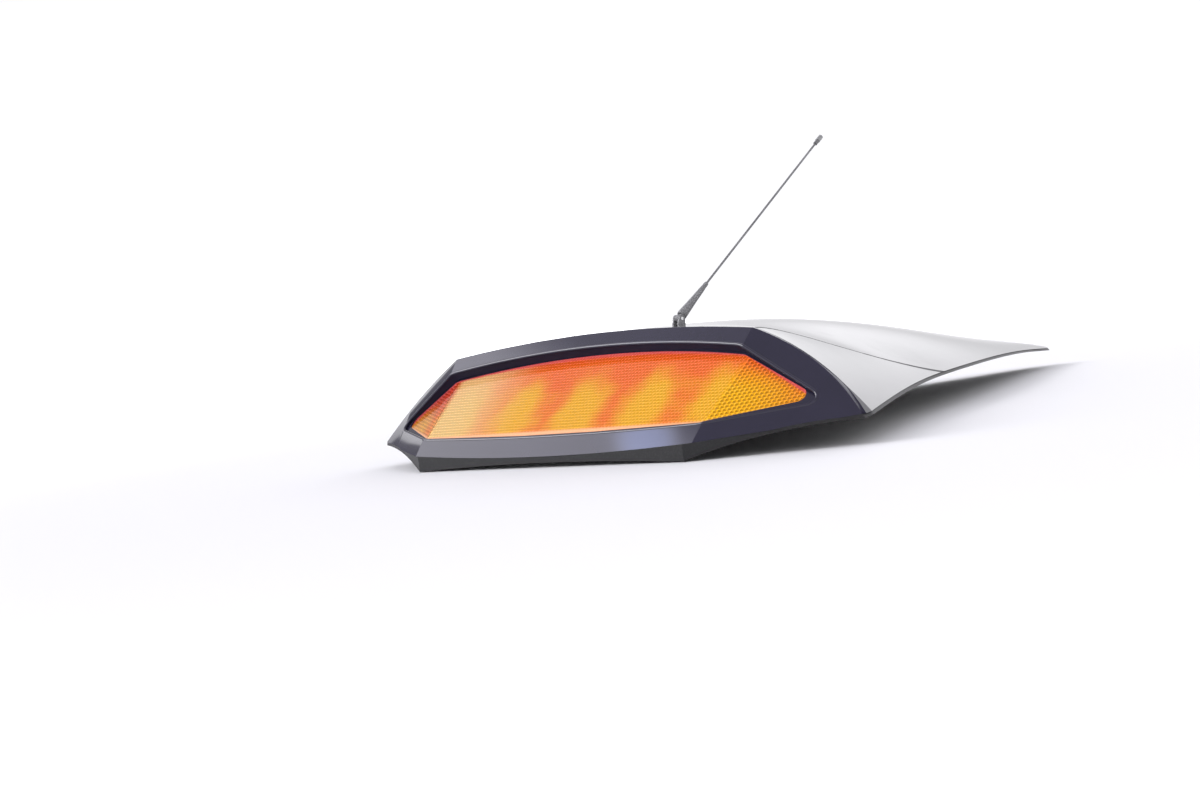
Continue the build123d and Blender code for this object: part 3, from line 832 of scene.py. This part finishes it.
def join_meshes(parts):
    """Points and faces of several meshes as one."""
    points = []
    faces = []
    first = 0
    for some_points, some_faces in parts:
        points.append(some_points)
        faces += [[first + int(k) for k in face] for face in some_faces]
        first += len(some_points)
    return np.vstack(points), faces


def lamp_heat(tree, u, v):
    """How strongly the lamps light a point of the lens, from 0 to 1.

    The lamps of the middle make a cosine along u that fades with the distance from their
    height, with uneven patches added. Each end lamp grows outwards along u and fades
    upwards and towards its tip, and on the left facet it keeps only a share, painted shade
    there. The stronger of the two counts.
    """
    glow = settings("glow")
    turn = math_node(tree, "MULTIPLY", math_node(tree, "SUBTRACT", u, glow.shift),
                     2 * math.pi / glow.spacing)
    lamp = math_node(tree, "MULTIPLY_ADD", math_node(tree, "COSINE", turn), 0.5, 0.5)
    lit = math_node(tree, "MULTIPLY_ADD", lamp, 1 - glow.between, glow.between)
    away = math_node(tree, "ABSOLUTE", math_node(tree, "SUBTRACT", v, glow.height))
    near = ramp(tree, away, 0.0, glow.reach, 1.0, 0.0)
    patches = ramp(tree, noise(tree, scale=55.0, detail=2.0), 0.25, 0.75,
                   -glow.patches, glow.patches)
    middle = math_node(tree, "ADD", product(tree, lit, near), patches)
    out = math_node(tree, "ABSOLUTE", u)
    ends = product(tree, ramp(tree, out, *END_LAMP, 0.0, glow.end_lamp),
                   ramp(tree, v, *END_RISE, 1.0, glow.end_top),
                   ramp(tree, out, *END_TIP, 1.0, glow.end_tip),
                   # painted shade: the end lamps' light is cut to a share on the left facet
                   ramp(tree, u, *END_LEFT, glow.left_end_painted_shade, 1.0))
    return ramp(tree, math_node(tree, "MAXIMUM", middle, ends), *FULL_HEAT)


def over_top(tree, u, v):
    """Height of a point over the lens's outline, below zero inside.

    The outline's top is a parabola through its middle and its shoulder, and beyond the
    shoulder a straight slope down to the tip. The higher of the two heights counts.
    """
    lens = settings("lens")
    sag = math_node(tree, "MULTIPLY", math_node(tree, "POWER", u, 2.0),
                    (lens.top - lens.shoulder_v) / lens.shoulder_u ** 2)
    slope = (lens.shoulder_v - lens.tip_v) / (lens.tip_u - lens.shoulder_u)
    fall = math_node(tree, "MULTIPLY_ADD", math_node(tree, "ABSOLUTE", u), slope,
                     -slope * lens.shoulder_u)
    return math_node(
        tree, "MAXIMUM",
        math_node(tree, "SUBTRACT", math_node(tree, "ADD", v, sag), lens.top),
        math_node(tree, "SUBTRACT", math_node(tree, "ADD", v, fall), lens.shoulder_v))


def over_foot(tree, u, v):
    """Height of a point over the outline's foot, which rises beyond the corner."""
    corner_u = settings("lens").corner_u
    foot_rise = 0.44
    rise = math_node(tree, "MULTIPLY", math_node(
        tree, "SUBTRACT", math_node(tree, "ABSOLUTE", u), corner_u), foot_rise)
    return math_node(tree, "SUBTRACT", v, math_node(tree, "MAXIMUM", rise, 0.0))


def painted_prism_shade(tree, u):
    """Painted light and shade on a prism's side by the way it faces, with painted shade over the
    whole left facet.
    """
    glow = settings("glow")
    facet = ramp(tree, dot_product(tree, surface_normal(tree), PAINTED_SHADE_WAY), *PAINTED_SHADE_TURN,
                 glow.painted_light_side, glow.painted_shade_side)
    return product(tree, ramp(tree, u, *LEFT_CREASE, glow.left_facet_painted_shade, 1.0), facet)


def lens_glow():
    """The lit prisms: yellow before each lamp, amber between, ember along top and ends, with
    painted shade on the prisms' sides and the left facet, and pale amber near the left crease as
    a painted reflection.
    """
    glow = settings("glow")
    colours = settings("colours")
    foot, across, up, _ = brow_frame()
    material, tree, shader = new_material("lit_prisms", Base_Color=colours.prisms,
                                          Roughness=0.3, Specular_IOR_Level=0.1,
                                          Emission_Strength=glow.strength)
    place = object_place(tree)
    u = dot_product(tree, place, across)
    v = math_node(tree, "SUBTRACT", dot_product(tree, place, up), float(foot @ up))
    top = over_top(tree, u, v)
    tone = mix_colours(tree, lamp_heat(tree, u, v), colours.amber, colours.lamp_yellow)
    tips = ramp(tree, math_node(tree, "ABSOLUTE", u), *EMBER_TIP, 0.0, glow.tip_ember)
    above = ramp(tree, top, *EMBER_TOP, 0.0, glow.top_ember)
    # Painted shade: ember over the left facet's top only
    left = product(tree, ramp(tree, u, *PAINTED_SHADE_LEFT_END, 1.0, 0.0), ramp(tree, v, *PAINTED_SHADE_LEFT_RISE))
    ember = math_node(tree, "MAXIMUM", math_node(tree, "MAXIMUM", tips, above), left)
    tone = mix_colours(tree, ember, tone, colours.ember)
    # Painted reflection: pale amber near the left crease
    pale = product(tree, ramp(tree, u, *LEFT_CREASE),
                   ramp(tree, u, *PAINTED_REFLECTION_FADE, glow.pale, 0.0))
    tone = mix_colours(tree, pale, tone, colours.pale)
    # Painted light and shade: the glow is scaled by the way each prism side faces
    tone = add_node(tree, "ShaderNodeVectorMath", {0: tone, "Scale": painted_prism_shade(tree, u)},
                    operation="SCALE").outputs[0]
    tone = mix_colours(tree, ramp(tree, over_foot(tree, u, v), *LOW_RIM, 1.0, 0.0), tone,
                       colours.peach)
    tone = mix_colours(tree, ramp(tree, top, *TOP_RIM), tone, colours.rose)
    tree.links.new(tone, shader.inputs["Emission Color"])
    return material


def crease_line(tree):
    """Share of matt paint: a thin line along each flank crease, and the front cut edge.

    The crease's distance from the middle is a polynomial of the place along the sign, and
    the line is where a point's own distance from the middle is within a share of the
    line's width from it. The cut edge is where the surface faces straight ahead.
    """
    inner, outer = (share * settings("front").line_width for share in (0.25, 0.6))
    place = add_node(tree, "ShaderNodeSeparateXYZ", {0: object_place(tree)}).outputs
    crease = 0.0
    for factor in np.polyfit(CREASE_ALONG, CREASE_OUT, 4):
        crease = math_node(tree, "MULTIPLY_ADD", crease, place[1], float(factor))
    off = math_node(tree, "ABSOLUTE", math_node(
        tree, "SUBTRACT", math_node(tree, "ABSOLUTE", place[0]), crease))
    line = product(tree, ramp(tree, off, inner, outer, 1.0, 0.0),
                   ramp(tree, place[1], *CREASE_TAIL, 1.0, 0.0),
                   ramp(tree, place[2], *CREASE_FOOT))
    ahead = dot_product(tree, surface_normal(tree), (0.0, -1.0, 0.0))
    return math_node(tree, "MAXIMUM", line, ramp(tree, ahead, *CUT_EDGE))


class ROOFSIGN_OT_fairing(bpy.types.Operator):
    """Paint the fairing gloss black"""

    bl_idname = "roofsign.fairing"
    bl_label = "Fairing"

    def execute(self, context):
        colours = settings("colours")
        material, tree, shader = new_material("fairing_paint", Roughness=0.04, IOR=1.5)
        wide = noise(tree, scale=12.0, detail=2.0)
        tone = mix_colours(tree, wide, colours.paint, [1.3 * c for c in colours.paint])
        tree.links.new(tone, shader.inputs["Base Color"])
        bump(tree, shader, noise(tree, scale=160.0, detail=1.0), distance=0.000004)
        gloss, matt = 0.04, 0.6
        tree.links.new(ramp(tree, crease_line(tree), 0.0, 1.0, gloss, matt),
                       shader.inputs["Roughness"])
        finish(material, "pod_shell")
        return {"FINISHED"}


class ROOFSIGN_OT_bezel(bpy.types.Operator):
    """Round the bezel's edges and finish it in gloss blue-black"""

    bl_idname = "roofsign.bezel"
    bl_label = "Bezel"

    def execute(self, context):
        colours = settings("colours")
        front = settings("front")
        material, tree, shader = new_material("bezel_gloss", Roughness=0.05, IOR=1.5)
        fine = noise(tree, scale=30.0, detail=2.0)
        tone = mix_colours(tree, fine, colours.bezel, [1.4 * c for c in colours.bezel])
        tree.links.new(tone, shader.inputs["Base Color"])
        facing = dot_product(tree, surface_normal(tree), brow_frame()[3])
        wall, face = 0.35, 0.55
        tree.links.new(ramp(tree, facing, wall, face, 0.9, 0.05), shader.inputs["Roughness"])
        tree.links.new(ramp(tree, facing, wall, face, 0.1, 0.5),
                       shader.inputs["Specular IOR Level"])
        bead_points, bead_faces = lip_bead()
        bead = mesh_piece("bezel_lip", bead_points, bead_faces.tolist(), POD,
                          crease=math.radians(60))
        set_material(bead, material)
        bezel = nodes["front_bezel"]
        weld = bezel.modifiers.new("weld", "WELD")
        weld.merge_threshold = 0.00001
        flat = bezel.modifiers.new("flat", "DECIMATE")
        flat.decimate_type = "DISSOLVE"
        flat.angle_limit = math.radians(1.0)
        edge = bezel.modifiers.new("edge", "BEVEL")
        edge.width = front.edge_round
        edge.segments = 3
        edge.limit_method = "ANGLE"
        edge.angle_limit = math.radians(14)
        edge.harden_normals = True
        set_material(bezel, material)
        return {"FINISHED"}


class ROOFSIGN_OT_lens(bpy.types.Operator):
    """Make the lens: lit prisms behind a clear skin"""

    bl_idname = "roofsign.lens"
    bl_label = "Lens"

    def execute(self, context):
        lens = settings("lens")
        skin_points, skin_faces = closed_sheet(lens_sheet(0.0), lens_sheet(lens.skin))
        skin = mesh_piece("lens_skin", skin_points, skin_faces.tolist(), POD,
                          crease=math.radians(8))
        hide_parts("lens")
        clear = new_material("clear_skin", Base_Color=settings("colours").skin,
                             Roughness=0.03, IOR=1.2, Transmission_Weight=1.0,
                             Specular_IOR_Level=0.15)[0]
        set_material(skin, clear)
        plate = closed_sheet(lens_sheet(lens.prism_depth + lens.prism_height),
                             lens_sheet(lens.back))
        parts = [plate] + [prism_cells(face) for face in (0, 1, 2)]
        rim_back = lens.prism_depth + 1.1 * lens.prism_height
        for start, stop in ((0.0, lens.rim_width), (-lens.rim_width, None)):
            parts.append(closed_sheet(lens_sheet(lens.prism_depth, start, stop, 2),
                                      lens_sheet(rim_back, start, stop, 2)))
        points, faces = join_meshes(parts)
        prisms = mesh_piece("lens_prisms", points, faces, POD)
        set_material(prisms, lens_glow())
        return {"FINISHED"}


class ROOFSIGN_OT_lamp(bpy.types.Operator):
    """Finish the reflector tray and the lamp boards behind the lens"""

    bl_idname = "roofsign.lamp"
    bl_label = "Lamp"

    def execute(self, context):
        colours = settings("colours")
        finish(coated("reflector_white", colours.tray, roughness=0.35, grain_scale=800.0,
                      depth=0.00002), "reflector_tray")
        finish(coated("board_white", colours.board, roughness=0.45, grain_scale=2500.0,
                      depth=0.00001), "led_board_left", "led_board_centre", "led_board_right")
        return {"FINISHED"}


class ROOFSIGN_OT_base(bpy.types.Operator):
    """Finish the base pan, its inserts, the gasket and the grommet"""

    bl_idname = "roofsign.base"
    bl_label = "Base"

    def execute(self, context):
        colours = settings("colours")
        finish(coated("pan_coating", colours.pan, roughness=0.5, grain_scale=900.0,
                      depth=0.00008), "base_pan")
        finish(coated("insert_brass", colours.brass, roughness=0.3, grain_scale=1800.0,
                      depth=0.00001, metallic=1.0), "roof_inserts")
        finish(rubber("seal_rubber", colours.rubber), "base_gasket", "cable_grommet",
               "aerial_pad")
        return {"FINISHED"}


class ROOFSIGN_OT_aerial(bpy.types.Operator):
    """Make the fluted boot and finish the rod, its cap and the hinge"""

    bl_idname = "roofsign.aerial"
    bl_label = "Aerial"

    def execute(self, context):
        colours = settings("colours")
        points, faces = fluted_boot()
        boot = mesh_piece("fluted_boot", points, faces, AERIAL,
                          crease=math.radians(40))
        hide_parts("aerial_boot")
        grey = rubber("boot_rubber", colours.boot)
        set_material(boot, grey)
        finish(grey, "aerial_base", "aerial_knuckle")
        finish(coated("rod_coating", colours.rod, roughness=0.3, grain_scale=1500.0,
                      depth=0.00003), "aerial_rod", "aerial_collar")
        finish(coated("cap_grey", colours.cap, roughness=0.35, grain_scale=1500.0,
                      depth=0.00003), "aerial_cap")
        finish(coated("pin_steel", colours.steel, roughness=0.3, grain_scale=1800.0,
                      depth=0.00001, metallic=1.0), "aerial_pin", "aerial_nut")
        return {"FINISHED"}


class ROOFSIGN_OT_stage(bpy.types.Operator):
    """Make the pale studio, its light and the camera"""

    bl_idname = "roofsign.stage"
    bl_label = "Stage"

    def execute(self, context):
        set_material(studio_floor(), floor_white())
        studio_light()
        context.scene.view_settings.view_transform = "Standard"
        studio_camera()
        return {"FINISHED"}


STEPS = (
    ROOFSIGN_OT_fairing,
    ROOFSIGN_OT_bezel,
    ROOFSIGN_OT_lens,
    ROOFSIGN_OT_lamp,
    ROOFSIGN_OT_base,
    ROOFSIGN_OT_aerial,
    ROOFSIGN_OT_stage,
)


class ROOFSIGN_PT_panel(bpy.types.Panel):
    """Steps and settings of the roof sign's finish"""

    bl_label = "Roof Sign"
    bl_idname = "ROOFSIGN_PT_panel"
    bl_space_type = "VIEW_3D"
    bl_region_type = "UI"
    bl_category = "Roof Sign"

    def draw(self, context):
        for name, group in GROUPS.items():
            box = self.layout.box()
            for key in group.__annotations__:
                box.prop(settings(name), key)
        for step in STEPS:
            self.layout.operator(step.bl_idname)


def register():
    """Registers the settings, the steps and the panel."""
    for name, group in GROUPS.items():
        bpy.utils.register_class(group)
        setattr(bpy.types.Scene, "roof_sign_" + name, PointerProperty(type=group))
    for step in (*STEPS, ROOFSIGN_PT_panel):
        bpy.utils.register_class(step)


def unregister():
    """Removes what register added."""
    for step in reversed((*STEPS, ROOFSIGN_PT_panel)):
        bpy.utils.unregister_class(step)
    for name, group in reversed(GROUPS.items()):
        delattr(bpy.types.Scene, "roof_sign_" + name)
        bpy.utils.unregister_class(group)


def main():
    """Registers the add-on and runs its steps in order."""
    register()
    for step in STEPS:
        family, action = step.bl_idname.split(".")
        getattr(getattr(bpy.ops, family), action)()


if __name__ == "__main__":
    main()
